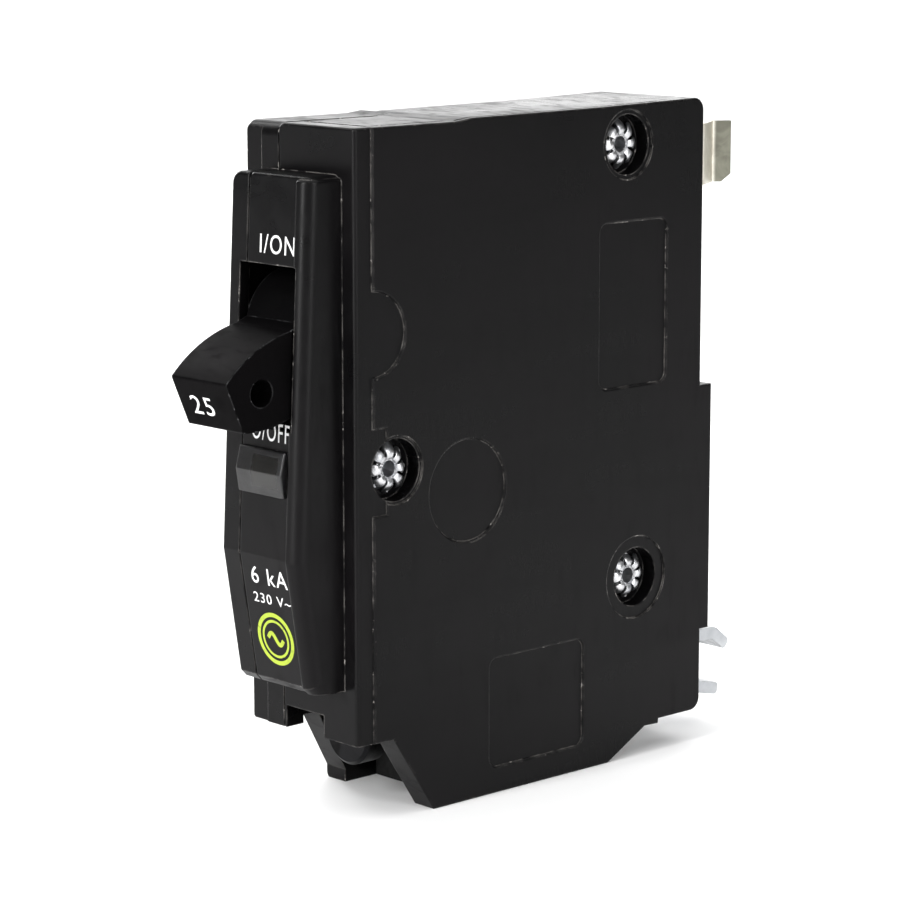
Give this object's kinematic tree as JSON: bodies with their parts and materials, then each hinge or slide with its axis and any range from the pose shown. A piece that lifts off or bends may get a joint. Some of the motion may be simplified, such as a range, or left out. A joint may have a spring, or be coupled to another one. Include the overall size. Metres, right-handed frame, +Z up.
{
  "type": "plug-on miniature circuit breaker",
  "caption": "Narrow plug-on circuit breaker with a rocking handle, trip window, contact arm, trip mechanism, wire lug, line jaw and rail clip.",
  "frame": {"origin": "under the middle of the overall box, on the plane of the foot", "axes": "+X across the width towards the riveted side, +Y from the handle towards the plug-on jaw, +Z up from the lug end to the line end"},
  "size_m": [0.0188, 0.0823, 0.079],
  "materials": {
    "housing": "satin moulded thermoset, near black",
    "handle_plastic": "satin moulded, near black",
    "zinc_steel": "zinc plated",
    "smoky_lens": "smoky translucent, glossy",
    "red_flag": "satin red",
    "steel": "bright steel",
    "copper": "plain copper",
    "silver_contact": "silver alloy",
    "tinned_copper": "dull tin plate",
    "fibre": "vulcanised fibre",
    "spring_steel": "bright wire",
    "bimetal": "rolled strip",
    "brass": "turned",
    "lug_metal": "dark tarnished plating",
    "blackened_steel": "blackened steel",
    "braided_copper": "fine braided wire",
    "white_clip": "white coated spring steel"
  },
  "bodies": {
    "housing": {"arc_chute_frame": "fibre", "arc_plates": "zinc_steel", "arm_pin": "steel", "armature_pin": "steel", "armature_spring": "spring_steel", "base_shell": "housing", "bimetal": "bimetal", "braid": "braided_copper", "calibration_screw": "brass", "cover_shell": "housing", "fixed_contact": "silver_contact", "handle_pin": "steel", "indicator_window": "smoky_lens", "jaw_spring": "steel", "line_jaw": "tinned_copper", "load_strap": "copper", "magnet_yoke": "zinc_steel", "operating_spring": "spring_steel", "rail_clip": "white_clip", "rivets": "zinc_steel", "trip_lever_pin": "steel", "wire_lug": "lug_metal"},
    "handle": {"handle": "handle_plastic"},
    "contact_arm": {"contact_arm": "copper", "moving_contact": "silver_contact"},
    "trip_lever": {"trip_lever": "steel"},
    "trip_flag": {"trip_flag": "red_flag"},
    "armature": {"armature": "zinc_steel"},
    "lug_pad": {"lug_pad": "blackened_steel"},
    "lug_screw": {"lug_screw": "blackened_steel"}
  },
  "joints": [
    {"name": "handle_rock", "type": "hinge", "parent": "housing", "child": "handle", "pos_m": [0, -0.02403, 0.0555], "axis": [-1, 0, 0], "range_deg": [0, 44]},
    {"name": "contact_arm_swing", "type": "hinge", "parent": "housing", "child": "contact_arm", "pos_m": [0, -0.01282, 0.049], "axis": [-1, 0, 0], "range_deg": [0, 12.02], "deforming": ["operating_spring", "braid"]},
    {"name": "trip_lever_swing", "type": "hinge", "parent": "housing", "child": "trip_lever", "pos_m": [0, 0.01968, 0.048], "axis": [1, 0, 0], "range_deg": [0, 14.02]},
    {"name": "trip_flag_slide", "type": "slide", "parent": "housing", "child": "trip_flag", "axis": [0, 0, 1], "range_m": [0, 0.0062]},
    {"name": "armature_swing", "type": "hinge", "parent": "housing", "child": "armature", "pos_m": [0, 0.00528, 0.024], "axis": [1, 0, 0], "range_deg": [0, 2], "stiffness_Nm_per_rad": 0.01},
    {"name": "lug_pad_slide", "type": "slide", "parent": "housing", "child": "lug_pad", "axis": [0, 1, 0], "range_m": [0, 0.005]},
    {"name": "lug_screw_turn", "type": "hinge", "parent": "lug_pad", "child": "lug_screw", "pos_m": [0, -0.02013, 0.008], "axis": [0, 1, 0], "range_deg": [0, 1801]}
  ],
  "couplings": [
    {"joint": "contact_arm_swing", "follows": "handle_rock", "ratio": 0.27273},
    {"joint": "trip_lever_swing", "follows": "trip_flag_slide", "rad_per_m": 39.411},
    {"joint": "lug_screw_turn", "follows": "lug_pad_slide", "rad_per_m": 6283.2}
  ]
}
